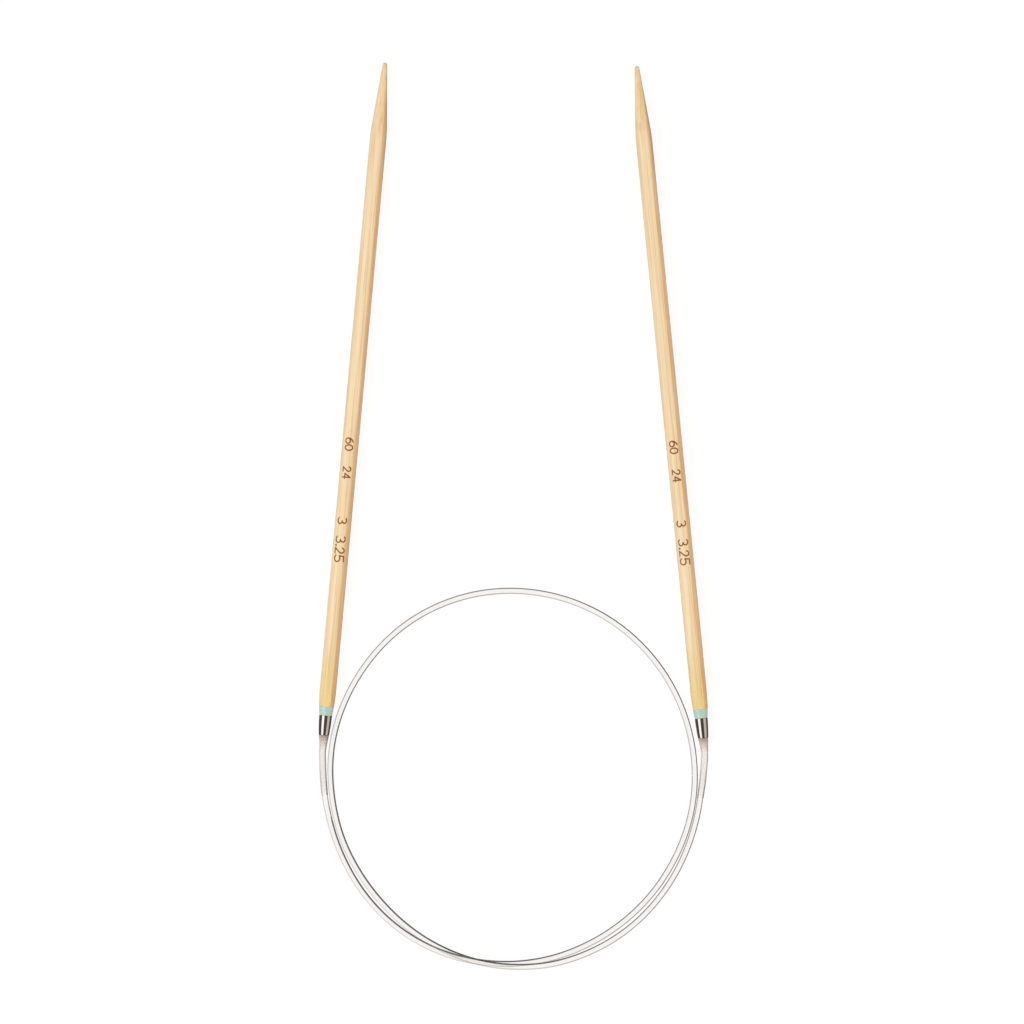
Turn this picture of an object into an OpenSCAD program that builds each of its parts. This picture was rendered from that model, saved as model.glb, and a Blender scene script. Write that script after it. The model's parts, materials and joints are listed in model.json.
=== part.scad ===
// Circular knitting needle: two turned bamboo needles on the ends of one clear nylon cord.
// It lies on a table: +Z is up, and +Y runs from the loop of cord to the needles' points.
// The origin is on the table, under the middle of the two needles.

/* [Bamboo shaft] */
// Diameter of the straight part of a needle, the size that it knits
needle_d = 3.25; // [3:0.05:4.5]
// Length of a needle from the ferrule's mouth to the end of the point
needle_len = 133; // [90:1:150]
// Length of the tapered point
point_len = 13.8; // [9:0.1:22]
// Diameter of the rounded end of the point
point_d = 0.94; // [0.6:0.02:1.6]
// Radius that softens the shoulder between the straight part and the point
shoulder_r = 40; // [5:1:80]
// Length over which the shaft narrows before it meets the size ring
heel_len = 3.5; // [2:0.1:6]
// Radius of the long curve that narrows the shaft and the size ring
heel_r = 38; // [32:1:80]
// Diameter of the tenon turned on the end of the shaft
tenon_d = 1.8; // [1.5:0.02:1.9]

/* [Size ring] */
// Length of the coloured ring that shows the needle's size
ring_len = 1.8; // [1:0.1:3]

/* [Ferrule] */
// Length of the plated ferrule
ferrule_len = 3.9; // [3.6:0.1:7]
// Wall of the ferrule at its mouth, around the cord
mouth_wall = 0.42; // [0.3:0.01:0.5]
// How far the ferrule's side swells out between its two ends
ferrule_swell = 0.045; // [0:0.005:0.1]
// Depth of the socket for the shaft's tenon
socket_depth = 1.7; // [1:0.1:1.8]
// Thickness of the shoulder at the mouth that holds the anchor back
stop_len = 0.8; // [0.4:0.05:0.9]
// Radius that rounds the edge of the mouth
lip_r = 0.1; // [0.04:0.02:0.2]

/* [Anchor] */
// Length of the bush that is crimped on the end of the cord
anchor_len = 1.2; // [0.6:0.05:1.25]
// Wall of the anchor bush
anchor_wall = 0.17; // [0.1:0.01:0.18]

/* [Collar and sleeve] */
// Length of the flared collar below the ferrule
collar_len = 2.95; // [2:0.05:4]
// How strongly the collar's flare is hollowed, where 1 is a plain cone
collar_flare = 1.2; // [1:0.1:3]
// Length of the sleeve that stiffens the cord below the collar
sleeve_len = 9.05; // [4:0.05:14]
// Wall of the sleeve
sleeve_wall = 0.08; // [0.05:0.01:0.1]

/* [Cord] */
// Diameter of the nylon cord
cord_d = 1.2; // [1:0.02:1.24]

/* [Fits] */
// Gap around the cord inside the sleeve and the collar
cord_fit = 0.02; // [0.01:0.005:0.03]
// Gap filled with glue around the tenon
glue_gap = 0.02; // [0.01:0.005:0.05]
// Running gap between the ferrule and what turns inside it
turn_gap = 0.03; // [0.02:0.005:0.05]

/* [How it lies] */
// Distance between the mouths of the two ferrules
mouth_spread = 74.7; // [70:0.1:80]
// How far the left needle leans towards the middle
left_tilt = 5.2; // [0:0.05:7]
// How far the right needle leans towards the middle
right_tilt = 5.65; // [0:0.05:7]
// How much further down the right needle lies than the left one
right_back = 0.55; // [0:0.05:1.5]
// Distance from the left ferrule's mouth down to the middle of the loop
loop_back = 8.4; // [8:0.1:9]

/* [Hidden] */

round_fn = 64;
arc_steps = 6;

needle_r = needle_d / 2;
point_r = point_d / 2;
tenon_r = tenon_d / 2;
cord_r = cord_d / 2;
bore_r = cord_r + cord_fit;
sleeve_r = bore_r + sleeve_wall;
mouth_r = cord_r + mouth_wall;
anchor_r = bore_r + anchor_wall;

// Places along a needle's axis, from the ferrule's mouth towards the point
ring_y = ferrule_len;
shaft_y = ring_y + ring_len;
shoulder_y = needle_len - point_len;
socket_y = ferrule_len - socket_depth;

// Radius of the needle a given distance past the start of its heel
function heel_at(x) = needle_r - heel_r + sqrt(heel_r * heel_r - x * x);
ring_top_r = heel_at(heel_len);
ring_end_r = heel_at(heel_len + ring_len);

// The two needles and the middle of the loop, so that the origin is under the needles' middle
function reach(tilt) = needle_len * cos(tilt);
function tail(tilt) = collar_len * cos(tilt) + sleeve_r * sin(tilt);
left_y = (max(tail(left_tilt), right_back + tail(right_tilt))
    - max(reach(left_tilt), reach(right_tilt) - right_back)) / 2;
left_mouth = [-mouth_spread / 2, left_y, needle_r];
right_mouth = [mouth_spread / 2, left_y - right_back, needle_r];
loop_middle = [-0.1, left_y - loop_back];

// The cord's route between the two collars: the angle round the loop, the distance from
// its middle, and the height above the table that the cord is lifted to
ROUTE = [
    [176, 37.6, 0.92],
    [180, 37.4, 0.68],
    [186, 37.25, 0.28],
    [194, 37.1, 0.04],
    [206, 37.1, 0],
    [218, 37.25, 0],
    [230, 37.35, 0],
    [242, 37.3, 0],
    [254, 37.1, 0],
    [266, 36.8, 0],
    [280, 36.45, 0],
    [294, 36.05, 0],
    [308, 35.8, 0],
    [330, 35.65, 0],
    [352, 35.8, 0],
    [374, 35.9, 0],
    [396, 36.15, 0],
    [418, 36.45, 0],
    [440, 36.7, 0],
    [462, 36.9, 0],
    [484, 36.85, 0],
    [506, 36.5, 0],
    [528, 36.25, 0],
    [546, 35.9, 0],
    [560, 35.75, 0],
    [572, 35.65, 0],
    [584, 35.75, 0.1],
    [593, 36, 0.35],
    [602, 36.3, 0.8],
    [612, 36.65, 1.15],
    [622, 37, 1.3],
    [632, 37.25, 1.22],
    [642, 37.5, 0.87],
    [654, 37.55, 0.25],
    [668, 37.5, 0],
    [684, 37.25, 0],
    [700, 37.05, 0.05],
    [713, 37.1, 0.3],
    [719, 37.35, 0.65],
    [723, 37.65, 0.9],
];
ring_gap = 4.5;
cord_sides = 8;
sleeve_sides = 16;

// A point a distance along a needle's axis, counted from its mouth towards the needle's point
function along(mouth, lean, y) = mouth + y * [sin(lean), cos(lean), 0];
// A place as an angle round the loop, a distance from its middle and a lift, and back again,
// where the cord never lies lower than the table
function to_loop(p, turns) = [
    atan2(p.y - loop_middle.y, p.x - loop_middle.x) + 360 * turns,
    norm([p.x - loop_middle.x, p.y - loop_middle.y]),
    p.z - cord_r
];
function from_loop(q) = [
    loop_middle.x + q[1] * cos(q[0]),
    loop_middle.y + q[1] * sin(q[0]),
    cord_r + max(q[2], 0)
];
// A smooth curve from b to c that has a before it and d after it
function smooth(a, b, c, d, t) = b + 0.5 * t * ((c - a)
    + t * ((2 * a - 5 * b + 4 * c - d) + t * (3 * (b - c) + d - a)));

left_top = along(left_mouth, left_tilt, stop_len + anchor_len);
left_end = along(left_mouth, left_tilt, -collar_len);
right_top = along(right_mouth, -right_tilt, stop_len + anchor_len);
right_end = along(right_mouth, -right_tilt, -collar_len);

stations = concat(
    [to_loop(left_mouth, 0), to_loop(left_end, 0)],
    ROUTE,
    [to_loop(right_end, 2), to_loop(right_mouth, 2)]
);
bends = [
    for (i = [1 : len(stations) - 3])
        let (n = max(1, round(norm(from_loop(stations[i + 1]) - from_loop(stations[i])) / ring_gap)))
            for (k = [0 : n - 1])
                from_loop(smooth(stations[i - 1], stations[i], stations[i + 1], stations[i + 2], k / n))
];
cord_path = concat([left_top], bends, [right_end, right_top]);

// How far along a path each of its points lies
function lengths(path) = let (last = len(path) - 1)
    [for (i = 0, s = 0; i <= last; s = s + norm(path[min(i + 1, last)] - path[i]), i = i + 1) s];
// The point that lies a given distance along a path
function point_at(path, ss, s) = let (i = max([for (k = [0 : len(ss) - 2]) if (ss[k] <= s) k]))
    path[i] + (path[i + 1] - path[i]) * (s - ss[i]) / (ss[i + 1] - ss[i]);
// The stretch of a path from distance a to distance b
function stretch(path, ss, a, b) = concat(
    [point_at(path, ss, a)],
    [for (k = [0 : len(ss) - 1]) if (ss[k] > a + 0.2 && ss[k] < b - 0.2) path[k]],
    [point_at(path, ss, b)]
);
function backwards(path) = [for (i = [len(path) - 1 : -1 : 0]) path[i]];

// One ring of a tube: n points at radius r round point i of a path, square to its direction
function ring(path, i, r, n) = let (
        ahead = path[min(i + 1, len(path) - 1)] - path[max(i - 1, 0)],
        across = cross(ahead, [0, 0, 1]) / norm(cross(ahead, [0, 0, 1])),
        up = cross(across, ahead) / norm(ahead)
    )
    [for (k = [0 : n - 1]) path[i] + r * (cos(360 * k / n) * across + sin(360 * k / n) * up)];

// A solid rod of radius r along a path
module rod(path, r, n) {
    m = len(path);
    polyhedron(
        points = [for (i = [0 : m - 1]) for (p = ring(path, i, r, n)) p],
        faces = concat(
            [[for (k = [0 : n - 1]) k]],
            [for (i = [0 : m - 2]) for (k = [0 : n - 1])
                [i * n + k, (i + 1) * n + k, (i + 1) * n + (k + 1) % n, i * n + (k + 1) % n]],
            [[for (k = [n - 1 : -1 : 0]) (m - 1) * n + k]]
        )
    );
}

// A tube of outer radius r and inner radius bore along a path
module pipe(path, r, bore, n) {
    m = len(path);
    inner = m * n;
    last = (m - 1) * n;
    polyhedron(
        points = concat(
            [for (i = [0 : m - 1]) for (p = ring(path, i, r, n)) p],
            [for (i = [0 : m - 1]) for (p = ring(path, i, bore, n)) p]
        ),
        faces = concat(
            [for (i = [0 : m - 2]) for (k = [0 : n - 1])
                [i * n + k, (i + 1) * n + k, (i + 1) * n + (k + 1) % n, i * n + (k + 1) % n]],
            [for (i = [0 : m - 2]) for (k = [0 : n - 1])
                [inner + i * n + (k + 1) % n, inner + (i + 1) * n + (k + 1) % n,
                    inner + (i + 1) * n + k, inner + i * n + k]],
            [for (k = [0 : n - 1]) [k, (k + 1) % n, inner + (k + 1) % n, inner + k]],
            [for (k = [0 : n - 1])
                [last + k, inner + last + k, inner + last + (k + 1) % n, last + (k + 1) % n]]
        )
    );
}

// A turned piece: a profile of [radius, place along the axis] points, laid along +Y
module turned(profile) rotate([-90, 0, 0]) rotate_extrude($fn = round_fn) polygon(profile);

// Puts a piece on the left or the right needle's axis
module on_left() translate(left_mouth) rotate([0, 0, -left_tilt]) children();
module on_right() translate(right_mouth) rotate([0, 0, right_tilt]) children();

// Bamboo shaft: tenon, narrowing heel, straight part, tapered point with a rounded end
module shaft() {
    point_run = point_len - point_r;
    slope = acos(point_r / norm([needle_r, point_run])) - atan2(point_run, needle_r);
    ease = shoulder_r * tan(slope / 2);
    color("burlywood") turned(concat(
        [[0, socket_y + turn_gap], [tenon_r, socket_y + turn_gap], [tenon_r, shaft_y]],
        [for (i = [0 : arc_steps]) let (x = heel_len * (1 - i / arc_steps))
            [heel_at(x), shaft_y + heel_len - x]],
        [for (i = [0 : arc_steps]) let (a = slope * i / arc_steps)
            [needle_r - shoulder_r * (1 - cos(a)), shoulder_y - ease + shoulder_r * sin(a)]],
        [for (i = [0 : arc_steps]) let (a = slope + (90 - slope) * i / arc_steps)
            [i == arc_steps ? 0 : point_r * cos(a), needle_len - point_r + point_r * sin(a)]]
    ));
}

// Size ring: a coloured ring that sits on the tenon between the shaft and the ferrule
module size_ring() {
    hole_r = tenon_r + glue_gap;
    color("mediumaquamarine") turned(concat(
        [[hole_r, shaft_y], [hole_r, ring_y]],
        [for (i = [0 : arc_steps]) let (x = heel_len + ring_len * (1 - i / arc_steps))
            [heel_at(x), shaft_y + heel_len - x]]
    ));
}

// Ferrule: a slightly swelled plated cup, with a socket for the tenon, a chamber for the anchor and a mouth
module ferrule() {
    socket_r = tenon_r + glue_gap;
    chamber_r = anchor_r + turn_gap;
    hole_r = bore_r + turn_gap;
    color("silver") turned(concat(
        [[hole_r, 0], [hole_r, stop_len], [chamber_r, stop_len], [chamber_r, socket_y]],
        [[socket_r, socket_y], [socket_r, ferrule_len]],
        [for (i = [0 : arc_steps - 1]) let (t = i / arc_steps) [
            ring_end_r + (mouth_r - ring_end_r) * t + 4 * ferrule_swell * t * (1 - t),
            ferrule_len + (lip_r - ferrule_len) * t
        ]],
        [for (i = [0 : arc_steps]) let (a = 90 * i / arc_steps)
            [mouth_r - lip_r + lip_r * cos(a), lip_r - lip_r * sin(a)]]
    ));
}

// Anchor: a bush crimped on the cord's end, which rests on the shoulder inside the ferrule's mouth
module anchor() {
    color("goldenrod") turned([
        [bore_r, stop_len],
        [bore_r, stop_len + anchor_len],
        [anchor_r, stop_len + anchor_len],
        [anchor_r, stop_len],
    ]);
}

// Collar: a clear flared cone that leads stitches from the sleeve up to the ferrule
module collar() {
    top_r = mouth_r - turn_gap / 2;
    top_y = -turn_gap / 2;
    color("mistyrose") turned(concat(
        [[bore_r, top_y], [bore_r, -collar_len]],
        [for (i = [0 : arc_steps]) let (t = i / arc_steps)
            [sleeve_r + (top_r - sleeve_r) * pow(t, collar_flare), t * (collar_len + top_y) - collar_len]]
    ));
}

// Sleeve: a thin clear tube on the first stretch of the cord, from the collar down
module sleeve(path) {
    start = stop_len + anchor_len + collar_len;
    color("seashell")
        pipe(stretch(path, lengths(path), start, start + sleeve_len), sleeve_r, bore_r, sleeve_sides);
}

// Cord: clear nylon, from the left needle's anchor round the loop one and a half times to the right one's
module cord() color("whitesmoke") rod(cord_path, cord_r, cord_sides);

module left_sleeve() sleeve(cord_path);
module left_collar() on_left() collar();
module left_anchor() on_left() anchor();
module left_ferrule() on_left() ferrule();
module left_size_ring() on_left() size_ring();
module left_shaft() on_left() shaft();
module right_sleeve() sleeve(backwards(cord_path));
module right_collar() on_right() collar();
module right_anchor() on_right() anchor();
module right_ferrule() on_right() ferrule();
module right_size_ring() on_right() size_ring();
module right_shaft() on_right() shaft();

cord();
left_sleeve();
left_collar();
left_anchor();
left_ferrule();
left_size_ring();
left_shaft();
right_sleeve();
right_collar();
right_anchor();
right_ferrule();
right_size_ring();
right_shaft();
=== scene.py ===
"""A circular knitting needle: two bamboo needles joined by one clear nylon cord.

The sections follow the way it is put together: the cord and its sleeves, the collars,
the ferrules with the anchors inside them, the size rings, and the bamboo shafts.
"""

import json
import math

import bpy
import numpy as np
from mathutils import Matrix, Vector


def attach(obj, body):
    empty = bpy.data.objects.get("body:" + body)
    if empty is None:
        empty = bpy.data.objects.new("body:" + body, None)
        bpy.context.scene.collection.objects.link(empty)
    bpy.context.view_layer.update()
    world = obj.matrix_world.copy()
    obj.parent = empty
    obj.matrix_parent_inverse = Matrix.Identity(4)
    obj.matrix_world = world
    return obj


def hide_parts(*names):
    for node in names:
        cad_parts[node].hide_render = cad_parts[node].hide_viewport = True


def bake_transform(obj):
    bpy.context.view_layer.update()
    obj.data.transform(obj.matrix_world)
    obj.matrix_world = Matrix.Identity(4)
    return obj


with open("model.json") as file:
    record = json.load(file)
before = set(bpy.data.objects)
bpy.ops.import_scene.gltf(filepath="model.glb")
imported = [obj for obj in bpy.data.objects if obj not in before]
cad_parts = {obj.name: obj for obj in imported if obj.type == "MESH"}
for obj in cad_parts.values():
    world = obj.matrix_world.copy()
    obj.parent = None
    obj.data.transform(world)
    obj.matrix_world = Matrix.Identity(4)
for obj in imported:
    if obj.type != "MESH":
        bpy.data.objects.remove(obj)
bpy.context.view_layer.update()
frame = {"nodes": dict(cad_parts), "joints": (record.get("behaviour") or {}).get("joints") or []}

MM = 0.001
SIDES = {
    "left": {"out": -1, "bend": "left_bend", "holder": "left_holder", "needle": "left_needle"},
    "right": {"out": 1, "bend": "right_bend", "holder": "right_holder", "needle": "right_needle"},
}
for side, facts in SIDES.items():
    swivel = next(j for j in frame["joints"] if j["name"] == side + "_swivel")
    facts["mouth"] = np.array(swivel["pos_m"])
    facts["axis"] = np.array(swivel["axis"])
    facts["lean"] = math.atan2(facts["axis"][0], facts["axis"][1])


# ---------------------------------------------------------------------------------------
# The view: from straight above through a long lens, so that both needles and the whole
# loop lie flat in the picture.
# ---------------------------------------------------------------------------------------
VIEW_WIDTH = 201.7 * MM
VIEW_MIDDLE = (-0.3 * MM, -20.5 * MM, 1.6 * MM)
VIEW_DISTANCE = 1.2
SENSOR = 36.0

camera_data = bpy.data.cameras.new("camera")
camera_data.sensor_width = SENSOR
camera_data.lens = SENSOR * VIEW_DISTANCE / VIEW_WIDTH
camera_data.clip_start = 0.01
camera_data.clip_end = 20.0
camera = bpy.data.objects.new("camera", camera_data)
camera.location = Vector(VIEW_MIDDLE) + Vector((0, 0, VIEW_DISTANCE))
bpy.context.scene.collection.objects.link(camera)
bpy.context.scene.camera = camera


# ---------------------------------------------------------------------------------------
# Cord and sleeves: one length of clear nylon line, extruded round and smooth, which runs
# from the left needle round the loop one and a half times to the right one. Its ends are
# crimped inside the ferrules, and a thin milky sleeve stiffens it below each collar.
# ---------------------------------------------------------------------------------------
CORD_R = 0.6 * MM
BORE_R = 0.62 * MM
SLEEVE_R = 0.7 * MM
SLEEVE_LEN = 9.05 * MM
SLEEVE_TAPER = 2.0 * MM
SLEEVE_EDGE_R = 0.635 * MM
BARING_START = 8.0 * MM
BARING_LEN = 18.0 * MM
COLLAR_LEN = 2.95 * MM
CORD_TOP = 2.0 * MM
LEAD_LEN = 10.0 * MM
CORD_STEP = 0.4 * MM
LOOP_MIDDLE = (-0.1 * MM, -72.85 * MM)

# The cord's route between the collars: the angle round the loop in degrees, the distance
# from its middle, and the height that the cord is lifted to, in metres
ROUTE = [
    (176, 0.0376, 0.00092),
    (180, 0.0374, 0.00068),
    (186, 0.03725, 0.00028),
    (194, 0.0371, 0.00004),
    (206, 0.0371, 0),
    (218, 0.03725, 0),
    (230, 0.03735, 0),
    (242, 0.0373, 0),
    (254, 0.0371, 0),
    (266, 0.0368, 0),
    (280, 0.03645, 0),
    (294, 0.03605, 0),
    (308, 0.0358, 0),
    (330, 0.03565, 0),
    (352, 0.0358, 0),
    (374, 0.0359, 0),
    (396, 0.03615, 0),
    (418, 0.03645, 0),
    (440, 0.0367, 0),
    (462, 0.0369, 0),
    (484, 0.03685, 0),
    (506, 0.0365, 0),
    (528, 0.03625, 0),
    (546, 0.03585, 0),
    (560, 0.03575, 0),
    (572, 0.03565, 0),
    (584, 0.03575, 0.0001),
    (593, 0.036, 0.00035),
    (602, 0.0363, 0.0008),
    (612, 0.03665, 0.00115),
    (622, 0.037, 0.0013),
    (632, 0.03725, 0.00122),
    (642, 0.0375, 0.00087),
    (654, 0.03755, 0.00025),
    (668, 0.0375, 0),
    (684, 0.03725, 0),
    (700, 0.03705, 0.00005),
    (713, 0.0371, 0.0003),
    (719, 0.03735, 0.00065),
    (723, 0.03765, 0.0009),
]


def to_loop(p, turns):
    """A place as its angle round the loop, its distance from the loop's middle, and its lift."""
    x, y = p[0] - LOOP_MIDDLE[0], p[1] - LOOP_MIDDLE[1]
    return (math.degrees(math.atan2(y, x)) + 360 * turns, math.hypot(x, y), p[2] - CORD_R)


def from_loop(q):
    """Places for rows of angle, distance and lift, where the cord never lies below the table."""
    a = np.radians(q[:, 0])
    return np.stack([
        LOOP_MIDDLE[0] + q[:, 1] * np.cos(a),
        LOOP_MIDDLE[1] + q[:, 1] * np.sin(a),
        CORD_R + np.maximum(q[:, 2], 0),
    ], axis=1)


def cord_route():
    """The cord's middle line from the left anchor to the right one.

    Between two stations b and c, with a before them and d after them, a point at the share
    t is b + t/2 * ((c - a) + t * ((2a - 5b + 4c - d) + t * (3(b - c) + d - a))).
    """
    left, right = SIDES["left"], SIDES["right"]
    stations = np.array([
        to_loop(left["mouth"], 0),
        to_loop(left["mouth"] - left["axis"] * COLLAR_LEN, 0),
        *ROUTE,
        to_loop(right["mouth"] - right["axis"] * COLLAR_LEN, 2),
        to_loop(right["mouth"], 2),
    ])
    a, b, c, d = (stations[i:len(stations) - 3 + i] for i in range(4))
    line = [left["mouth"][None] + left["axis"] * CORD_TOP]
    for i in range(len(a)):
        length = np.linalg.norm(from_loop(c[i:i + 1]) - from_loop(b[i:i + 1]))
        t = np.arange(max(1, round(length / CORD_STEP)))[:, None]
        t = t / len(t)
        line.append(from_loop(b[i] + t / 2 * ((c[i] - a[i]) + t * (
            (2 * a[i] - 5 * b[i] + 4 * c[i] - d[i]) + t * (3 * (b[i] - c[i]) + d[i] - a[i])))))
    line.append(right["mouth"][None] - right["axis"] * COLLAR_LEN)
    line.append(right["mouth"][None] + right["axis"] * CORD_TOP)
    return np.concatenate(line)


def lengths_along(path):
    """How far along a path each of its points lies."""
    return np.concatenate([[0], np.cumsum(np.linalg.norm(np.diff(path, axis=0), axis=1))])


def stretch_of(path, start, end, step=CORD_STEP):
    """The points of a path between two distances along it, at an even spacing."""
    at = lengths_along(path)
    wanted = np.linspace(start, end, max(2, round((end - start) / step) + 1))
    return np.stack([np.interp(wanted, at, path[:, k]) for k in range(3)], axis=1)


def rings_along(path, radius, angles):
    """Rings of points round a path: each is the path's point plus its radius times the cosine
    of the angle across the path and the sine of the angle upwards."""
    ahead = np.gradient(path, axis=0)
    ahead /= np.linalg.norm(ahead, axis=1)[:, None]
    across = np.cross(ahead, (0, 0, 1))
    across /= np.linalg.norm(across, axis=1)[:, None]
    up = np.cross(across, ahead)
    radius = np.broadcast_to(radius, len(path))[:, None, None]
    turn = np.cos(angles)[None, :, None] * across[:, None] + np.sin(angles)[None, :, None] * up[:, None]
    return path[:, None] + radius * turn


def skin(name, rings, closed=False):
    """A surface through rings of points, of shape rings by points by three, which faces
    outwards. It joins its last ring to its first one where closed is true, and otherwise
    each end is closed by a fan round the middle of its ring."""
    rows, columns = rings.shape[:2]
    points = rings.reshape(-1, 3)
    i, k = np.meshgrid(np.arange(rows if closed else rows - 1), np.arange(columns), indexing="ij")
    j, m = (i + 1) % rows, (k + 1) % columns
    faces = np.stack([i * columns + k, j * columns + k, j * columns + m, i * columns + m], -1)
    faces = faces.reshape(-1, 4).tolist()
    if not closed:
        points = np.concatenate([points, rings[0].mean(0)[None], rings[-1].mean(0)[None]])
        start, end = rows * columns, rows * columns + 1
        top = (rows - 1) * columns
        faces += [(start, k, (k + 1) % columns) for k in range(columns)]
        faces += [(end, top + (k + 1) % columns, top + k) for k in range(columns)]
    mesh = bpy.data.meshes.new(name)
    mesh.from_pydata(points.tolist(), [], faces)
    mesh.shade_smooth()
    mesh.set_sharp_from_angle(angle=math.radians(35))
    piece = bpy.data.objects.new(name, mesh)
    bpy.context.scene.collection.objects.link(piece)
    return piece


def circle(sides):
    """Evenly spaced angles of a full turn."""
    return np.arange(sides) * 2 * math.pi / sides


def material(name):
    """A new node material, its node maker, its links and its Principled shader."""
    made = bpy.data.materials.new(name)
    made.use_nodes = True
    nodes, links = made.node_tree.nodes, made.node_tree.links
    return made, nodes, links.new, nodes["Principled BSDF"]


# The side away from the light, towards which the rims get painted shade
SHADED_SIDE = np.array([math.cos(math.radians(45)), math.sin(math.radians(45)), 0])
# The painted shade of a place that faces neither side, how far it sways from there between
# the lit side and the shaded side, and what the inside of the loop adds to each of them
DARK_MIDDLE = 0.45
DARK_SWAY = 0.32
DARK_SWAY_INSIDE = 0.08
DARK_INSIDE = 0.17
# How much sooner a rim takes its painted shade where that shade is deepest
CORD_HURRY = 4.4
MILK_HURRY = 1.3
CLEAR_SHARE = 0.92


def painted_darkness(rings, path):
    """The painted shade at each point of the rings round a path: the middle value, plus the sway
    times how far the point faces away from the light, plus a share of painted shade for the
    inside of the loop, where the sway is wider too."""
    outwards = rings - path[:, None]
    outwards /= np.linalg.norm(outwards, axis=2)[..., None]
    from_middle = path - (*LOOP_MIDDLE, 0)
    from_middle[:, 2] = 0
    from_middle /= np.linalg.norm(from_middle, axis=1)[:, None]
    inside = 0.5 - 0.5 * np.einsum("ijk,ik->ij", outwards, from_middle)
    sway = DARK_SWAY + DARK_SWAY_INSIDE * inside
    return DARK_MIDDLE + sway * (outwards @ SHADED_SIDE) + DARK_INSIDE * inside


def rim_shade(nodes, join, start, end, hurry):
    """How much painted shade a rim lays on what is seen through it: the painted shade of each
    point, brought in as the surface turns away from the eye. Where the painted shade is
    deepest, the turn is multiplied by the hurry, so the shade comes in sooner there and a side
    that faces the eye stays clear."""
    painted_shade = nodes.new("ShaderNodeAttribute")
    painted_shade.attribute_name = "painted_shade"
    tone = nodes.new("ShaderNodeMapRange")
    tone.inputs["From Min"].default_value = 0.1
    tone.inputs["From Max"].default_value = 0.72
    join(painted_shade.outputs["Fac"], tone.inputs["Value"])
    sooner = nodes.new("ShaderNodeMapRange")
    sooner.inputs["From Min"].default_value = 0.68
    sooner.inputs["From Max"].default_value = 0.85
    sooner.inputs["To Min"].default_value = 1
    sooner.inputs["To Max"].default_value = hurry
    join(painted_shade.outputs["Fac"], sooner.inputs["Value"])
    facing = nodes.new("ShaderNodeLayerWeight")
    facing.inputs["Blend"].default_value = 0.5
    turned_away = nodes.new("ShaderNodeMath")
    turned_away.operation = "MULTIPLY"
    join(facing.outputs["Facing"], turned_away.inputs[0])
    join(sooner.outputs["Result"], turned_away.inputs[1])
    edge = nodes.new("ShaderNodeMapRange")
    edge.interpolation_type = "SMOOTHSTEP"
    edge.inputs["From Min"].default_value = start
    edge.inputs["From Max"].default_value = end
    join(turned_away.outputs["Value"], edge.inputs["Value"])
    shade = nodes.new("ShaderNodeMath")
    shade.operation = "MULTIPLY"
    join(tone.outputs["Result"], shade.inputs[0])
    join(edge.outputs["Result"], shade.inputs[1])
    return shade.outputs["Value"]


def tinted(nodes, join, kind, amount, tint, painted_shade):
    """A colour that goes from one tint, a colour or a socket, to a darker one, the painted shade, by
    the amount.
    """
    mix = nodes.new("ShaderNodeMix")
    mix.data_type = "RGBA"
    mix.blend_type = kind
    join(amount, mix.inputs["Factor"])
    if isinstance(tint, tuple):
        mix.inputs["A"].default_value = (*tint, 1)
    else:
        join(tint, mix.inputs["A"])
    mix.inputs["B"].default_value = (*painted_shade, 1)
    return mix.outputs["Result"]


def clear_nylon():
    """Clear drawn nylon: see-through down the middle, with a little gloss. Its rims carry
    painted shade, dark grey on the side away from the light and on the inside of the loop,
    in place of the dim room that they would bend into view."""
    made, nodes, join, glassy = material("clear_nylon")
    glassy.inputs["Base Color"].default_value = (0.99, 0.965, 0.94, 1)
    glassy.inputs["Roughness"].default_value = 0.03
    glassy.inputs["IOR"].default_value = 1.5
    glassy.inputs["Transmission Weight"].default_value = 1.0
    # Painted shade on the rims: what shows through them turns dark grey
    shade = rim_shade(nodes, join, 0.15, 0.38, CORD_HURRY)
    through = nodes.new("ShaderNodeBsdfTransparent")
    seen = tinted(nodes, join, "MIX", shade, (0.974, 0.957, 0.944), (0.26, 0.26, 0.27))
    join(seen, through.inputs["Color"])
    mix = nodes.new("ShaderNodeMixShader")
    mix.inputs["Fac"].default_value = CLEAR_SHARE
    join(glassy.outputs["BSDF"], mix.inputs[1])
    join(through.outputs["BSDF"], mix.inputs[2])
    join(mix.outputs["Shader"], nodes["Material Output"].inputs["Surface"])
    return made


def unseen_cut():
    """The cut between two stretches of the same cord, where there is nothing to see."""
    made, nodes, join, body = material("unseen_cut")
    nodes.remove(body)
    through = nodes.new("ShaderNodeBsdfTransparent")
    join(through.outputs["BSDF"], nodes["Material Output"].inputs["Surface"])
    return made


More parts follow.
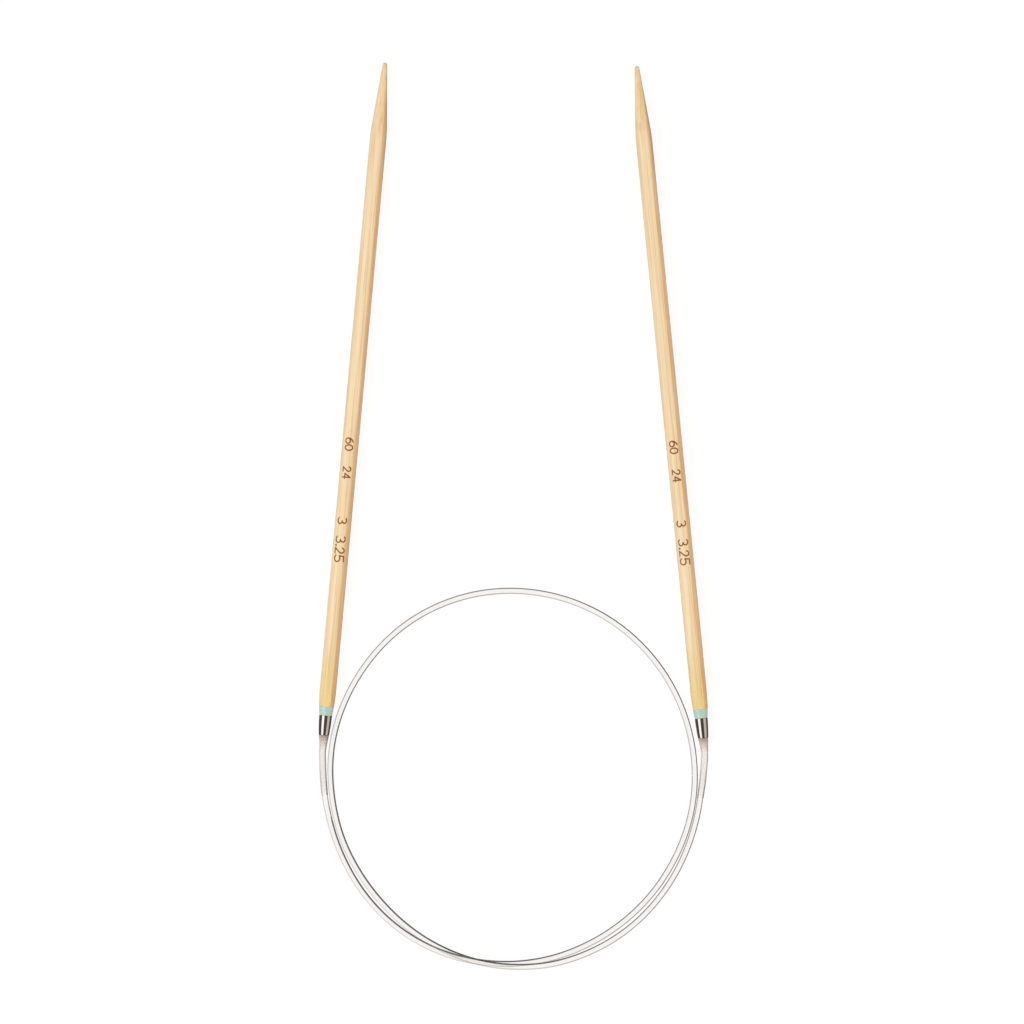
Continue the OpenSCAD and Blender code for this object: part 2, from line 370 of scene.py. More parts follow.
def milky_nylon(name, deep, pale, clear_deep, clear_pale, film):
    """Thin milky nylon. What is under it shows through by the clear share, which like the
    colour runs from deep at the ferrule to pale lower down. It is raised to a power that
    grows towards the rims, where there is more nylon to look through. The film, two stops of
    a ramp, tints what shows through, and the rims carry painted shade, darker on the side
    away from the light."""
    made, nodes, join, milk = material(name)
    milk.inputs["Roughness"].default_value = 0.25
    down = nodes.new("ShaderNodeAttribute")
    down.attribute_name = "down"
    clouds = nodes.new("ShaderNodeTexNoise")
    clouds.inputs["Scale"].default_value = 500
    clouds.inputs["Detail"].default_value = 3
    place = nodes.new("ShaderNodeTexCoord")
    join(place.outputs["Object"], clouds.inputs["Vector"])
    cloudy = nodes.new("ShaderNodeMapRange")
    cloudy.inputs["To Min"].default_value = -0.06
    cloudy.inputs["To Max"].default_value = 0.06
    join(clouds.outputs["Fac"], cloudy.inputs["Value"])
    drift = nodes.new("ShaderNodeMath")
    drift.operation = "ADD"
    drift.use_clamp = True
    join(down.outputs["Fac"], drift.inputs[0])
    join(cloudy.outputs["Result"], drift.inputs[1])
    colour = nodes.new("ShaderNodeMix")
    colour.data_type = "RGBA"
    join(drift.outputs["Value"], colour.inputs["Factor"])
    colour.inputs["A"].default_value = (*deep, 1)
    colour.inputs["B"].default_value = (*pale, 1)
    # Painted shade on the rims: it darkens the milk and what shows through
    shade = rim_shade(nodes, join, 0.15, 0.5, MILK_HURRY)
    toned = tinted(nodes, join, "MULTIPLY", shade, colour.outputs["Result"], (0.6, 0.58, 0.56))
    join(toned, milk.inputs["Base Color"])
    clear = nodes.new("ShaderNodeMapRange")
    clear.inputs["To Min"].default_value = clear_deep
    clear.inputs["To Max"].default_value = clear_pale
    join(drift.outputs["Value"], clear.inputs["Value"])
    facing = nodes.new("ShaderNodeLayerWeight")
    facing.inputs["Blend"].default_value = 0.5
    layers = nodes.new("ShaderNodeMapRange")
    layers.inputs["To Min"].default_value = 1
    layers.inputs["To Max"].default_value = 6
    join(facing.outputs["Facing"], layers.inputs["Value"])
    share = nodes.new("ShaderNodeMath")
    share.operation = "POWER"
    join(clear.outputs["Result"], share.inputs[0])
    join(layers.outputs["Result"], share.inputs[1])
    through = nodes.new("ShaderNodeBsdfTransparent")
    tint = nodes.new("ShaderNodeValToRGB")
    for element, (at, shown) in zip(tint.color_ramp.elements, film):
        element.position = at
        element.color = (*shown, 1)
    join(drift.outputs["Value"], tint.inputs["Fac"])
    seen = tinted(nodes, join, "MIX", shade, tint.outputs["Color"], (0.57, 0.56, 0.535))
    join(seen, through.inputs["Color"])
    mix = nodes.new("ShaderNodeMixShader")
    join(share.outputs["Value"], mix.inputs["Fac"])
    join(milk.outputs["BSDF"], mix.inputs[1])
    join(through.outputs["BSDF"], mix.inputs[2])
    join(mix.outputs["Shader"], nodes["Material Output"].inputs["Surface"])
    return made


def mark(piece, name, values):
    """Writes a value between 0 and 1 on each point of a piece, for its material to read."""
    attribute = piece.data.attributes.new(name, "FLOAT", "POINT")
    attribute.data.foreach_set("value", np.clip(values, 0, 1).astype(np.float32).ravel())


def bareness(beyond):
    """How bare the cord looks a distance beyond its sleeve's end, from 0 to 1, which caps the
    painted shade on its rims: it grows evenly from a place inside the sleeve to a place past it."""
    return np.clip((BARING_START + beyond) / BARING_LEN, 0, 1)


def bare_cord(name, path, bare=1.0):
    """A stretch of the cord. The painted shade on its rims is never more than it is bare there."""
    rings = rings_along(path, CORD_R, round_cord)
    piece = skin(name, rings)
    painted_shade = np.minimum(painted_darkness(rings, path).T, bare).T
    mark(piece, "painted_shade", np.append(painted_shade, [0, 0]))
    piece.data.materials.append(nylon)
    piece.data.materials.append(cut)
    sides = (len(rings) - 1) * len(round_cord)
    caps = np.arange(len(piece.data.polygons)) >= sides
    piece.data.polygons.foreach_set("material_index", caps.astype(np.int32))
    return piece


nylon = clear_nylon()
cut = unseen_cut()
sleeve_nylon = milky_nylon(
    "sleeve_nylon", (0.91, 0.85, 0.80), (0.93, 0.88, 0.84), 0.985, 0.995,
    ((0.75, (0.980, 0.971, 0.966)), (1, (0.995, 0.993, 0.991))))
cord_line = cord_route()
cord_length = lengths_along(cord_line)[-1]
in_needle = CORD_TOP + COLLAR_LEN
to_mouth = in_needle + SLEEVE_LEN
round_cord = circle(24)

free_line = stretch_of(cord_line, to_mouth + LEAD_LEN, cord_length - to_mouth - LEAD_LEN)
free_cord = bare_cord("cord_line", free_line)
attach(free_cord, "cord_loop")
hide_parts("cord")

with_cord = []
for side, facts in SIDES.items():
    line = cord_line if side == "left" else cord_line[::-1]

    lead_line = stretch_of(line, to_mouth, to_mouth + LEAD_LEN)
    lead = bare_cord(side + "_cord_lead", lead_line, bareness(lengths_along(lead_line)))
    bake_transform(lead)
    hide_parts("cord")

    end_line = stretch_of(line, 0, to_mouth)
    end = bare_cord(side + "_cord_end", end_line, bareness(lengths_along(end_line) - to_mouth))
    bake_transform(end)
    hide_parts("cord")

    sleeve_line = stretch_of(line, in_needle, to_mouth)
    to_end = SLEEVE_LEN - lengths_along(sleeve_line)
    wall = SLEEVE_EDGE_R + (SLEEVE_R - SLEEVE_EDGE_R) * np.clip(to_end / SLEEVE_TAPER, 0, 1) ** 0.7
    outside = rings_along(sleeve_line, wall, round_cord)
    inside = rings_along(sleeve_line, BORE_R, round_cord)[::-1]
    sleeve = skin(side + "_sleeve_tube", np.concatenate([outside, inside]), closed=True)
    sleeve.data.materials.append(sleeve_nylon)
    steps = np.linspace(0, 1, len(sleeve_line))
    mark(sleeve, "down", np.repeat(np.concatenate([steps, steps[::-1]]), len(round_cord)))
    # Painted shade for the sleeve's rims, on its outer wall only
    painted_shade = painted_darkness(outside, sleeve_line)
    mark(sleeve, "painted_shade", np.concatenate([painted_shade, painted_shade[::-1] * 0]))
    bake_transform(sleeve)
    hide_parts(side + "_sleeve")
    with_cord += [lead, end, sleeve]


# ---------------------------------------------------------------------------------------
# Collars: a moulded milky cone under each ferrule, hollowed like a trumpet, which leads
# the stitches from the sleeve up to the metal. It is glued on the cord.
# ---------------------------------------------------------------------------------------
COLLAR_TOP_R = 1.005 * MM
COLLAR_FLARE = 1.2
COLLAR_GAP = 0.015 * MM


def turned(name, mouth, axis, profile, angles, closed=False):
    """A surface turned about a needle's axis. Each row of the profile is a place along the
    axis, counted from the mouth, and the radius there."""
    across = np.array([axis[1], -axis[0], 0])
    up = np.array([0, 0, 1])
    turn = np.cos(angles)[:, None] * across + np.sin(angles)[:, None] * up
    rings = mouth + profile[:, 0, None, None] * axis + profile[:, 1, None, None] * turn
    return skin(name, rings, closed)


def collar_profile():
    """Down the bore, then up the outside, whose radius grows with the height to the power of
    the flare."""
    t = np.linspace(0, 1, 24)
    height = COLLAR_LEN - COLLAR_GAP
    outside = np.stack([
        t * height - COLLAR_LEN,
        SLEEVE_R + (COLLAR_TOP_R - SLEEVE_R) * t ** COLLAR_FLARE,
    ], axis=1)
    bore = np.array([[-COLLAR_GAP, BORE_R], [-COLLAR_LEN, BORE_R]])
    return np.concatenate([bore, outside])


collar_nylon = milky_nylon(
    "collar_nylon", (0.58, 0.44, 0.35), (0.90, 0.84, 0.78), 0.75, 0.985,
    ((0, (0.88, 0.83, 0.783)), (1, (0.986, 0.976, 0.968))))
collar_sides = circle(48)
for side, facts in SIDES.items():
    profile = collar_profile()
    collar = turned(side + "_collar_cone", facts["mouth"], facts["axis"], profile, collar_sides, True)
    collar.data.materials.append(collar_nylon)
    down = -profile[:, 0] / COLLAR_LEN
    eased = np.clip((down - 0.08) / 0.3, 0, 1)
    down = 0.3 * down + 0.7 * eased * eased * (3 - 2 * eased)
    mark(collar, "down", np.repeat(down, len(collar_sides)))
    rings = np.array([v.co for v in collar.data.vertices]).reshape(len(profile), -1, 3)
    # Painted shade for the collar's rims, none on its bore
    mark(collar, "painted_shade", painted_darkness(rings, rings.mean(1)) * (np.arange(len(profile)) > 1)[:, None])
    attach(collar, facts["holder"])
    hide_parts(side + "_collar")


# ---------------------------------------------------------------------------------------
# Ferrules and anchors: a drawn brass cup with bright nickel plating holds the shaft's
# tenon above and the cord's anchor bush below, so that the needle turns on the cord.
# ---------------------------------------------------------------------------------------
FERRULE_LEN = 3.9 * MM
FERRULE_TOP_R = 1.25358 * MM
FERRULE_MOUTH_R = 1.02 * MM
FERRULE_SWELL = 0.045 * MM
FERRULE_WALL = 0.3 * MM
LIP_R = 0.1 * MM
RIM_R = 0.04 * MM


def ferrule_profile():
    """Down the inside, round the lip of the mouth, up the outside, which swells by a parabola
    over the straight line between its ends, and over the rim."""
    a = np.linspace(math.pi / 2, 0, 7)
    lip = np.stack([LIP_R - LIP_R * np.sin(a), FERRULE_MOUTH_R - LIP_R + LIP_R * np.cos(a)], 1)
    t = np.linspace(0, 1, 16)[1:]
    swell = 4 * FERRULE_SWELL * t * (1 - t)
    side = np.stack([
        LIP_R + t * (FERRULE_LEN - LIP_R - RIM_R),
        FERRULE_MOUTH_R + t * (FERRULE_TOP_R - FERRULE_MOUTH_R) + swell,
    ], 1)
    b = np.linspace(0, math.pi / 2, 5)[1:]
    rim = np.stack([
        FERRULE_LEN - RIM_R + RIM_R * np.sin(b),
        FERRULE_TOP_R - RIM_R + RIM_R * np.cos(b),
    ], 1)
    bore = np.array([
        [FERRULE_LEN, FERRULE_TOP_R - FERRULE_WALL],
        [0, BORE_R + 0.03 * MM],
    ])
    return np.concatenate([bore, lip, side, rim])


def nickel():
    """Bright nickel plating, with faint handling haze."""
    made, nodes, join, body = material("bright_nickel")
    body.inputs["Base Color"].default_value = (0.29, 0.278, 0.26, 1)
    body.inputs["Metallic"].default_value = 1
    body.inputs["Specular Tint"].default_value = (0.4, 0.38, 0.36, 1)
    place = nodes.new("ShaderNodeTexCoord")
    haze = nodes.new("ShaderNodeTexNoise")
    haze.inputs["Scale"].default_value = 1400
    haze.inputs["Detail"].default_value = 4
    join(place.outputs["Object"], haze.inputs["Vector"])
    gloss = nodes.new("ShaderNodeMapRange")
    gloss.inputs["To Min"].default_value = 0.05
    gloss.inputs["To Max"].default_value = 0.12
    join(haze.outputs["Fac"], gloss.inputs["Value"])
    join(gloss.outputs["Result"], body.inputs["Roughness"])
    return made


def plain_brass():
    """Turned brass, a little dull."""
    made, _, _, body = material("turned_brass")
    body.inputs["Base Color"].default_value = (0.72, 0.5, 0.2, 1)
    body.inputs["Metallic"].default_value = 1
    body.inputs["Roughness"].default_value = 0.35
    return made


plating = nickel()
brass = plain_brass()
for side, facts in SIDES.items():
    ferrule = turned(
        side + "_ferrule_cup", facts["mouth"], facts["axis"], ferrule_profile(), circle(64), True)
    ferrule.data.materials.append(plating)
    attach(ferrule, facts["needle"])
    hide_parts(side + "_ferrule")
    anchor = frame["nodes"][side + "_anchor"]
    anchor.data.materials.clear()
    anchor.data.materials.append(brass)


# ---------------------------------------------------------------------------------------
# Size rings: a moulded ring of mint-coloured plastic on the shaft's tenon, which shows
# the needle's size by its colour and carries on the shaft's long taper.
# ---------------------------------------------------------------------------------------
RING_LEN = 1.8 * MM
HEEL_LEN = 3.5 * MM
HEEL_R = 38.0 * MM
NEEDLE_R = 1.625 * MM
RING_BORE_R = 0.92 * MM
RING_EDGE_R = 0.05 * MM
SHAFT_START = FERRULE_LEN + RING_LEN


def heel_at(x):
    """Radius of the needle a distance past the start of its heel: the needle's radius less the
    rise of a large circle."""
    return NEEDLE_R - HEEL_R + np.sqrt(HEEL_R ** 2 - x ** 2)


def ring_profile():
    """Down the bore, then up the outside, which follows the heel and is eased at both edges."""
    x = np.linspace(HEEL_LEN + RING_LEN, HEEL_LEN, 12)
    along = SHAFT_START + HEEL_LEN - x
    radius = heel_at(x)
    a = np.linspace(0, math.pi / 2, 5)
    ease = RING_EDGE_R * (1 - np.sin(a))
    low = np.stack([along[0] + RING_EDGE_R * (1 - np.cos(a)), radius[0] - ease], 1)
    high = np.stack([along[-1] - RING_EDGE_R * (1 - np.cos(a)), radius[-1] - ease], 1)[::-1]
    bore = np.array([[along[-1], RING_BORE_R], [along[0], RING_BORE_R]])
    middle = np.stack([along[1:-1], radius[1:-1]], 1)
    return np.concatenate([bore, low, middle, high])


def mint_plastic():
    """Satin mint plastic with a faint mottle."""
    made, nodes, join, body = material("mint_plastic")
    body.inputs["Roughness"].default_value = 0.42
    place = nodes.new("ShaderNodeTexCoord")
    mottle = nodes.new("ShaderNodeTexNoise")
    mottle.inputs["Scale"].default_value = 2600
    mottle.inputs["Detail"].default_value = 3
    join(place.outputs["Object"], mottle.inputs["Vector"])
    colour = nodes.new("ShaderNodeValToRGB")
    colour.color_ramp.elements[0].position = 0.3
    colour.color_ramp.elements[0].color = (0.40, 0.57, 0.51, 1)
    colour.color_ramp.elements[1].position = 0.7
    colour.color_ramp.elements[1].color = (0.45, 0.62, 0.56, 1)
    join(mottle.outputs["Fac"], colour.inputs["Fac"])
    join(colour.outputs["Color"], body.inputs["Base Color"])
    return made


mint = mint_plastic()
for side, facts in SIDES.items():
    band = turned(side + "_mint_ring", facts["mouth"], facts["axis"], ring_profile(), circle(64), True)
    band.data.materials.append(mint)
    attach(band, facts["needle"])
    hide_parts(side + "_size_ring")


# ---------------------------------------------------------------------------------------
# Shafts: each is turned and sanded from one split of bamboo, so its fibres run along it,
# then waxed. Its sizes are burnt into the top by a fine laser line.
# ---------------------------------------------------------------------------------------
NEEDLE_LEN = 133.0 * MM
POINT_LEN = 13.8 * MM
POINT_R = 0.47 * MM
SHOULDER_R = 40.0 * MM
TENON_R = 0.9 * MM
TENON_START = 2.3 * MM
PLAIN_STEP = 1 * MM
MARKED_STEP = 0.055 * MM
MARKED_START = 33.5 * MM
MARKED_END = 59.6 * MM
GRAIN_SEED = 11.0
DIGIT_PITCH = 0.85
BURN_HALF = 0.105 * MM
BURN_SOFT = 0.06 * MM
BURN_DEEP = 0.035 * MM
MARK_OFF_TOP = -0.2 * MM
# Each mark, how far from the mouth the middle of its first digit lies, and how high it is
MARKS = [
    ("60", 58.2 * MM, 1.6 * MM),
    ("24", 52.6 * MM, 1.6 * MM),
    ("3", 42.4 * MM, 1.8 * MM),
    ("3.25", 38.7 * MM, 1.92 * MM),
]


def arc(x, y, wide, high, start, end, steps=10):
    """Points along part of an ellipse, between two angles in degrees."""
    a = np.radians(np.linspace(start, end, steps))
    return np.stack([x + wide * np.cos(a), y + high * np.sin(a)], 1)


# Single strokes of each digit, one unit high
DIGITS = {
    "0": [arc(0.35, 0.5, 0.33, 0.5, 90, 450, 18)],
    "2": [np.concatenate([arc(0.35, 0.71, 0.26, 0.29, 165, -35), [(0.08, 0.0), (0.62, 0.0)]])],
    "3": [np.concatenate([
        arc(0.31, 0.75, 0.30, 0.25, 140, -80),
        arc(0.33, 0.26, 0.34, 0.26, 80, -145),
    ])],
    "4": [np.array([(0.5, 0.0), (0.5, 1.0), (0.04, 0.3), (0.66, 0.3)])],
    "5": [np.concatenate([
        [(0.62, 1.0), (0.10, 1.0), (0.05, 0.52)],
        arc(0.32, 0.31, 0.34, 0.31, 130, -150),
    ])],
    "6": [arc(0.35, 0.31, 0.33, 0.31, 90, 450, 16), arc(0.66, 0.33, 0.64, 0.67, 180, 105)],
    ".": [arc(0.1, 0.05, 0.04, 0.04, 0, 360, 7)],
}
POINT_STEP = 0.33


def burnt_at(along, round_top):
    """How deeply a place is burnt, from 0 to 1. along is its distance from the mouth, and
    round_top how far round to the right of the top it lies. The digits read towards the
    mouth with their heads to the right, and the burn fades with the distance to the nearest
    stroke."""
    nearest = np.full(np.shape(along), 1.0)
    for text, start, high in MARKS:
        place = start
        for digit in text:
            x = (place - along) / high + 0.35
            y = (round_top - MARK_OFF_TOP) / high + 0.5
            for stroke in DIGITS[digit]:
                for p, q in zip(stroke[:-1], stroke[1:]):
                    d = q - p
                    t = np.clip(((x - p[0]) * d[0] + (y - p[1]) * d[1]) / (d @ d), 0, 1)
                    gap = np.hypot(x - p[0] - t * d[0], y - p[1] - t * d[1]) * high
                    nearest = np.minimum(nearest, gap)
            place -= high * DIGIT_PITCH * (POINT_STEP if digit == "." else 1)
    fade = np.clip((BURN_HALF + BURN_SOFT - nearest) / BURN_SOFT, 0, 1)
    return fade * fade * (3 - 2 * fade)


def shaft_profile():
    """From the tenon's end up to the point: the tenon, the eased heel, the straight part, the
    soft shoulder, the straight taper and the round end."""
    point_run = POINT_LEN - POINT_R
    slope = math.acos(POINT_R / math.hypot(NEEDLE_R, point_run)) - math.atan2(point_run, NEEDLE_R)
    ease = SHOULDER_R * math.tan(slope / 2)
    shoulder = NEEDLE_LEN - POINT_LEN
    tenon = np.array([[TENON_START, TENON_R], [SHAFT_START, TENON_R]])
    x = np.linspace(HEEL_LEN, 0, 16)
    heel = np.stack([SHAFT_START + HEEL_LEN - x, heel_at(x)], 1)
    straight = np.concatenate([
        np.arange(SHAFT_START + HEEL_LEN + PLAIN_STEP, MARKED_START, PLAIN_STEP),
        np.arange(MARKED_START, MARKED_END, MARKED_STEP),
        np.arange(MARKED_END, shoulder - ease, PLAIN_STEP),
    ])
    straight = np.stack([straight, np.full(len(straight), NEEDLE_R)], 1)
    a = np.linspace(0, slope, 14)
    soft = np.stack([
        shoulder - ease + SHOULDER_R * np.sin(a),
        NEEDLE_R - SHOULDER_R * (1 - np.cos(a)),
    ], 1)
    b = np.linspace(slope, math.pi / 2, 12)[:-1]
    tip = np.stack([NEEDLE_LEN - POINT_R + POINT_R * np.sin(b), POINT_R * np.cos(b)], 1)
    t = np.linspace(0, 1, 26)[1:-1, None]
    taper = soft[-1] * (1 - t) + tip[0] * t
    return np.concatenate([tenon, heel, straight, soft, taper, tip])


def bamboo(name, mouth, lean, seed):
    """Split bamboo, waxed. Every pattern lies in the needle's own frame, stretched along it:
    broad pale streaks, a golden zone down the right side, which is partly dense fibres and
    partly painted shade on the side away from the light, and fine fibres. The rims carry
    painted shade too."""
    made, nodes, join, body = material(name)
    place = nodes.new("ShaderNodeTexCoord")
    own = nodes.new("ShaderNodeMapping")
    own.vector_type = "TEXTURE"
    own.inputs["Location"].default_value = mouth
    own.inputs["Rotation"].default_value = (0, 0, -lean)
    join(place.outputs["Object"], own.inputs["Vector"])
    axes = nodes.new("ShaderNodeSeparateXYZ")
    join(own.outputs["Vector"], axes.inputs["Vector"])

    def streaks(wide, long, detail, shift):
        """Noise whose grains are so wide across the needle and so long along it."""
        stretch = nodes.new("ShaderNodeMapping")
        stretch.inputs["Location"].default_value = (seed + shift, seed - shift, shift)
        stretch.inputs["Scale"].default_value = (1 / wide, 1 / long, 1 / wide)
        join(own.outputs["Vector"], stretch.inputs["Vector"])
        noise = nodes.new("ShaderNodeTexNoise")
        noise.inputs["Scale"].default_value = 1
        noise.inputs["Detail"].default_value = detail
        join(stretch.outputs["Vector"], noise.inputs["Vector"])
        return noise.outputs["Fac"]

    def ramp(value, *stops):
        """A colour that runs through the stops as the value grows."""
        node = nodes.new("ShaderNodeValToRGB")
        while len(node.color_ramp.elements) < len(stops):
            node.color_ramp.elements.new(0.5)
        for element, (at, colour) in zip(node.color_ramp.elements, stops):
            element.position = at
            element.color = (*colour, 1)
        join(value, node.inputs["Fac"])
        return node.outputs["Color"]

    def blend(kind, amount, a, b):
        """Two colours mixed in a given way."""
        node = nodes.new("ShaderNodeMix")
        node.data_type = "RGBA"
        node.blend_type = kind
        if isinstance(amount, float):
            node.inputs["Factor"].default_value = amount
        else:
            join(amount, node.inputs["Factor"])
        for socket, value in ((node.inputs["A"], a), (node.inputs["B"], b)):
            if isinstance(value, tuple):
                socket.default_value = (*value, 1)
            else:
                join(value, socket)
        return node.outputs["Result"]

    def reckon(kind, a, b):
        """A sum or product of two values, either of which may be a number."""
        node = nodes.new("ShaderNodeMath")
        node.operation = kind
        for socket, value in zip(node.inputs, (a, b)):
            if isinstance(value, float):
                socket.default_value = value
            else:
                join(value, socket)
        return node.outputs["Value"]

    def grows(value, start, end):
        """0 up to the start, 1 from the end on, and eased between them."""
        node = nodes.new("ShaderNodeMapRange")
        node.interpolation_type = "SMOOTHSTEP"
        node.inputs["From Min"].default_value = start
        node.inputs["From Max"].default_value = end
        join(value, node.inputs["Value"])
        return node.outputs["Result"]

    across = reckon("DIVIDE", axes.outputs["X"], NEEDLE_R)
    along = reckon("DIVIDE", axes.outputs["Y"], NEEDLE_LEN)
    pale = ramp(
        streaks(0.8 * MM, 35 * MM, 2.0, 3.1),
        (0.30, (0.83, 0.64, 0.39)), (0.5, (0.87, 0.70, 0.47)), (0.7, (0.90, 0.74, 0.53)))
    # Partly painted shade: the golden zone darkens the side away from the light
    golden = ramp(
        streaks(0.25 * MM, 18 * MM, 2.0, 5.3),
        (0.30, (0.69, 0.42, 0.17)), (0.5, (0.76, 0.50, 0.24)), (0.7, (0.82, 0.57, 0.31)))
    wander = reckon("MULTIPLY", streaks(4 * MM, 22 * MM, 2.0, 9.9), 0.3)
    frayed = reckon("MULTIPLY", streaks(0.2 * MM, 6 * MM, 3.0, 1.7), 0.18)
    zone = reckon("ADD", across, reckon("ADD", wander, frayed))
    colour = blend("MIX", grows(zone, 0.66, 0.80), pale, golden)
    bands = ramp(
        streaks(0.28 * MM, 24 * MM, 2.0, 4.4),
        (0.34, (0.90, 0.82, 0.68)), (0.48, (0.985, 0.97, 0.94)), (0.6, (1.0, 1.0, 1.0)))
    colour = blend("MULTIPLY", 1.0, colour, bands)
    fine = ramp(
        streaks(0.13 * MM, 11 * MM, 3.0, 7.7),
        (0.30, (0.88, 0.82, 0.72)), (0.46, (0.97, 0.96, 0.93)), (0.6, (1.0, 1.0, 1.0)))
    colour = blend("MULTIPLY", 1.0, colour, fine)
    yellow = ramp(along, (0.045, (0.93, 0.93, 0.62)), (0.14, (1.0, 1.0, 1.0)))
    colour = blend("MULTIPLY", 1.0, colour, yellow)
    amber = reckon("MULTIPLY", grows(along, 0.88, 0.93), grows(across, -0.35, 0.25))
    colour = blend("MULTIPLY", amber, colour, (0.96, 0.90, 0.76))
    # Painted shade: the rims turn a cool grey as the surface turns away from the eye
    turn = nodes.new("ShaderNodeLayerWeight")
    turn.inputs["Blend"].default_value = 0.5
    rim = grows(turn.outputs["Facing"], 0.2, 0.55)
    colour = blend("MIX", reckon("MULTIPLY", rim, 0.16), colour, (0.5, 0.55, 0.62))
    # Painted shade: near the point, the rims on the right side darken further
    shaded_point_side = reckon("MULTIPLY", grows(along, 0.8, 0.87), grows(across, 0.1, 0.2))
    painted_point_shade = reckon("MULTIPLY", rim, shaded_point_side)
    colour = blend("MULTIPLY", painted_point_shade, colour, (0.78, 0.75, 0.76))

    burn = nodes.new("ShaderNodeAttribute")
    burn.attribute_name = "burn"
    colour = blend("MIX", burn.outputs["Fac"], colour, (0.22, 0.062, 0.0))
    join(colour, body.inputs["Base Color"])
    body.inputs["Roughness"].default_value = 0.48
    bump = nodes.new("ShaderNodeBump")
    bump.inputs["Strength"].default_value = 0.4
    bump.inputs["Distance"].default_value = 0.008 * MM
    join(streaks(0.1 * MM, 9 * MM, 3.0, 7.7), bump.inputs["Height"])
    join(bump.outputs["Normal"], body.inputs["Normal"])
    return made


# Angles round the shaft, close together over the burnt sizes on its top
top_half = math.radians(42)
shaft_angles = np.concatenate([
    np.linspace(math.pi / 2 - top_half, math.pi / 2 + top_half, 61),
    np.linspace(math.pi / 2 + top_half, 5 * math.pi / 2 - top_half, 47)[1:-1],
])
for side, facts in SIDES.items():
    profile = shaft_profile()
    along, angle = np.meshgrid(profile[:, 0], shaft_angles, indexing="ij")
    radius = np.broadcast_to(profile[:, 1, None], along.shape)
    off_top = (angle - math.pi / 2 + math.pi) % (2 * math.pi) - math.pi
    burnt = burnt_at(along, -off_top * NEEDLE_R)
    across = np.array([facts["axis"][1], -facts["axis"][0], 0])
    turn = np.cos(angle)[..., None] * across + np.sin(angle)[..., None] * np.array([0, 0, 1])
    burnt_radius = radius - BURN_DEEP * burnt
    rings = facts["mouth"] + along[..., None] * facts["axis"] + burnt_radius[..., None] * turn
    shaft = skin(side + "_bamboo", rings)
    mark(shaft, "burn", np.append(burnt, [0, 0]))
    seed = GRAIN_SEED * facts["out"]
    shaft.data.materials.append(bamboo(side + "_bamboo", facts["mouth"], facts["lean"], seed))
    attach(shaft, facts["needle"])
    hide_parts(side + "_shaft")


# ---------------------------------------------------------------------------------------
# Table and light: a plain white table under one large soft light on the left, a warm
# reflector low on the right, and a weak fill from behind the points.
# ---------------------------------------------------------------------------------------
TABLE_HALF = 4.0
KEY_STRENGTH = 14.6
REFLECTOR_STRENGTH = 10.4
BACK_FILL_STRENGTH = 3.2


def white_table():
    """A matt white table. Looked at directly it is lifted to white, and keeps a faint shadow.
    In gloss it glows a dim warm brown, a painted reflection that darkens the metal's edges.
    """
    made, nodes, join, body = material("white_table")
    nodes.remove(body)
    paper = nodes.new("ShaderNodeBsdfDiffuse")
    paper.inputs["Color"].default_value = (0.8, 0.8, 0.8, 1)
    path = nodes.new("ShaderNodeLightPath")

    lit = nodes.new("ShaderNodeBsdfDiffuse")
    lit.inputs["Color"].default_value = (0.1, 0.1, 0.1, 1)
    lift = nodes.new("ShaderNodeEmission")
    lift.inputs["Strength"].default_value = 0.92
    seen = nodes.new("ShaderNodeAddShader")
    join(lit.outputs["BSDF"], seen.inputs[0])
    join(lift.outputs["Emission"], seen.inputs[1])

    through = nodes.new("ShaderNodeEmission")
    through.inputs["Strength"].default_value = 1.0
    # Painted reflection: to glossy rays the table glows a dim warm brown
    painted_reflection = nodes.new("ShaderNodeEmission")
    painted_reflection.inputs["Color"].default_value = (0.27, 0.24, 0.21, 1)

    shader = paper.outputs["BSDF"]
    for ray, look in (
        ("Is Glossy Ray", painted_reflection.outputs["Emission"]),
        ("Is Transmission Ray", through.outputs["Emission"]),
        ("Is Camera Ray", seen.outputs["Shader"]),
    ):
        mix = nodes.new("ShaderNodeMixShader")
        join(path.outputs[ray], mix.inputs["Fac"])
        join(shader, mix.inputs[1])
        join(look, mix.inputs[2])
        shader = mix.outputs["Shader"]
    join(shader, nodes["Material Output"].inputs["Surface"])
    return made


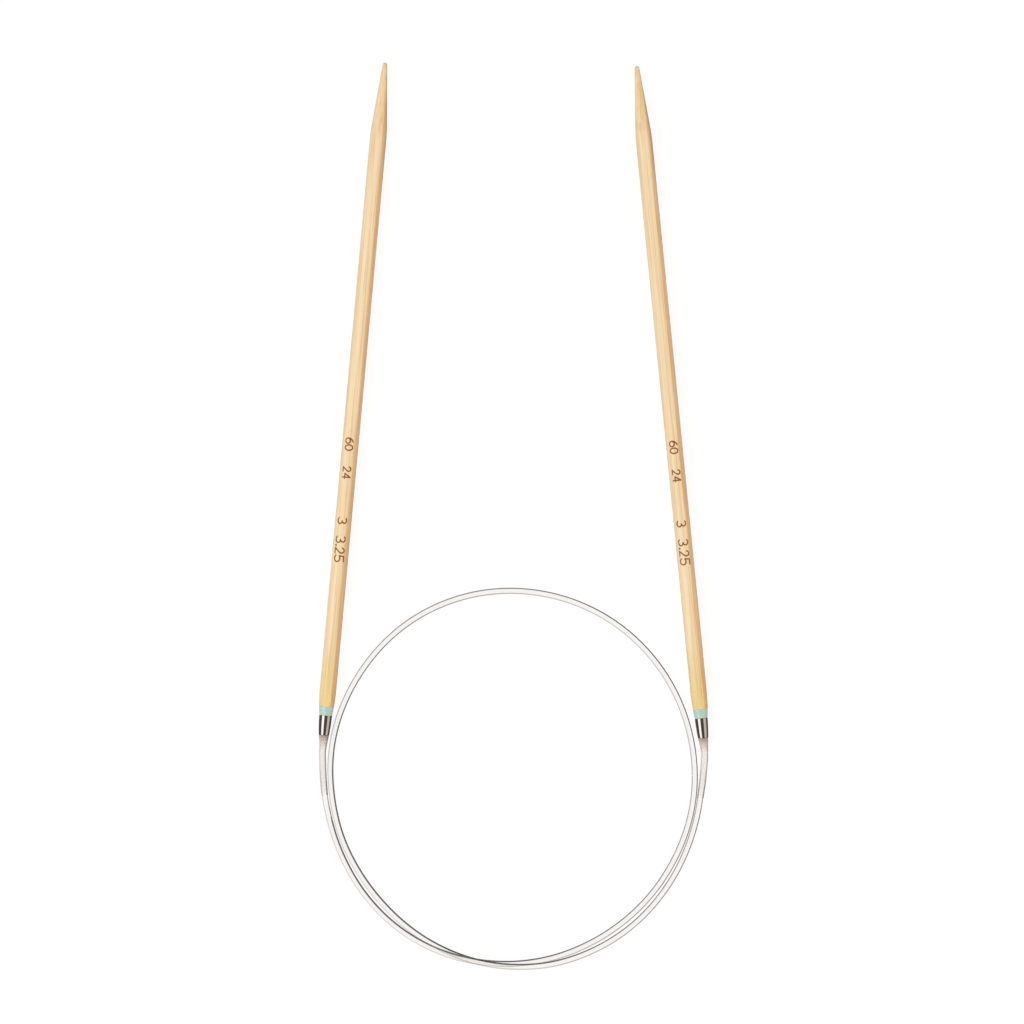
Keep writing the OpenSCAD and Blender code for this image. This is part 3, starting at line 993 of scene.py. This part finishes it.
table_mesh = bpy.data.meshes.new("table")
table_mesh.from_pydata([
    (-TABLE_HALF, -TABLE_HALF, 0), (TABLE_HALF, -TABLE_HALF, 0),
    (TABLE_HALF, TABLE_HALF, 0), (-TABLE_HALF, TABLE_HALF, 0),
], [], [(0, 1, 2, 3)])
table = bpy.data.objects.new("table", table_mesh)
table.data.materials.append(white_table())
bpy.context.scene.collection.objects.link(table)


def soft_light(name, place, aim, wide, high, strength, colour):
    """A flat rectangular light at a place, turned to face another."""
    lamp = bpy.data.lights.new(name, "AREA")
    lamp.shape = "RECTANGLE"
    lamp.size = wide
    lamp.size_y = high
    lamp.energy = strength
    lamp.color = colour
    light = bpy.data.objects.new(name, lamp)
    light.location = place
    light.rotation_mode = "QUATERNION"
    light.rotation_quaternion = (Vector(aim) - Vector(place)).to_track_quat("-Z", "Y")
    bpy.context.scene.collection.objects.link(light)


soft_light("key_light", (-0.75, -0.5, 0.8), (0, -0.5, 0), 1.6, 0.9, KEY_STRENGTH, (1.0, 0.99, 0.97))
soft_light("back_fill", (0.0, 1.0, 0.8), (0, 0, 0), 1.6, 0.8, BACK_FILL_STRENGTH, (1.0, 0.98, 0.96))
soft_light("reflector", (0.94, 0.0, 0.5), (0, 0, 0), 2.2, 1.0, REFLECTOR_STRENGTH, (1.0, 0.91, 0.83))

world = bpy.data.worlds.new("studio")
bpy.context.scene.world = world
world.use_nodes = True
world_nodes, world_join = world.node_tree.nodes, world.node_tree.links.new
room = world_nodes["Background"]
room.inputs["Color"].default_value = (0.2, 0.185, 0.17, 1)
room.inputs["Strength"].default_value = 1.0
backdrop = world_nodes.new("ShaderNodeBackground")
backdrop.inputs["Color"].default_value = (1, 1, 1, 1)
world_path = world_nodes.new("ShaderNodeLightPath")
world_mix = world_nodes.new("ShaderNodeMixShader")
world_join(world_path.outputs["Is Camera Ray"], world_mix.inputs["Fac"])
world_join(room.outputs["Background"], world_mix.inputs[1])
world_join(backdrop.outputs["Background"], world_mix.inputs[2])
world_join(world_mix.outputs["Shader"], world_nodes["World Output"].inputs["Surface"])

bpy.context.scene.view_settings.view_transform = "Standard"
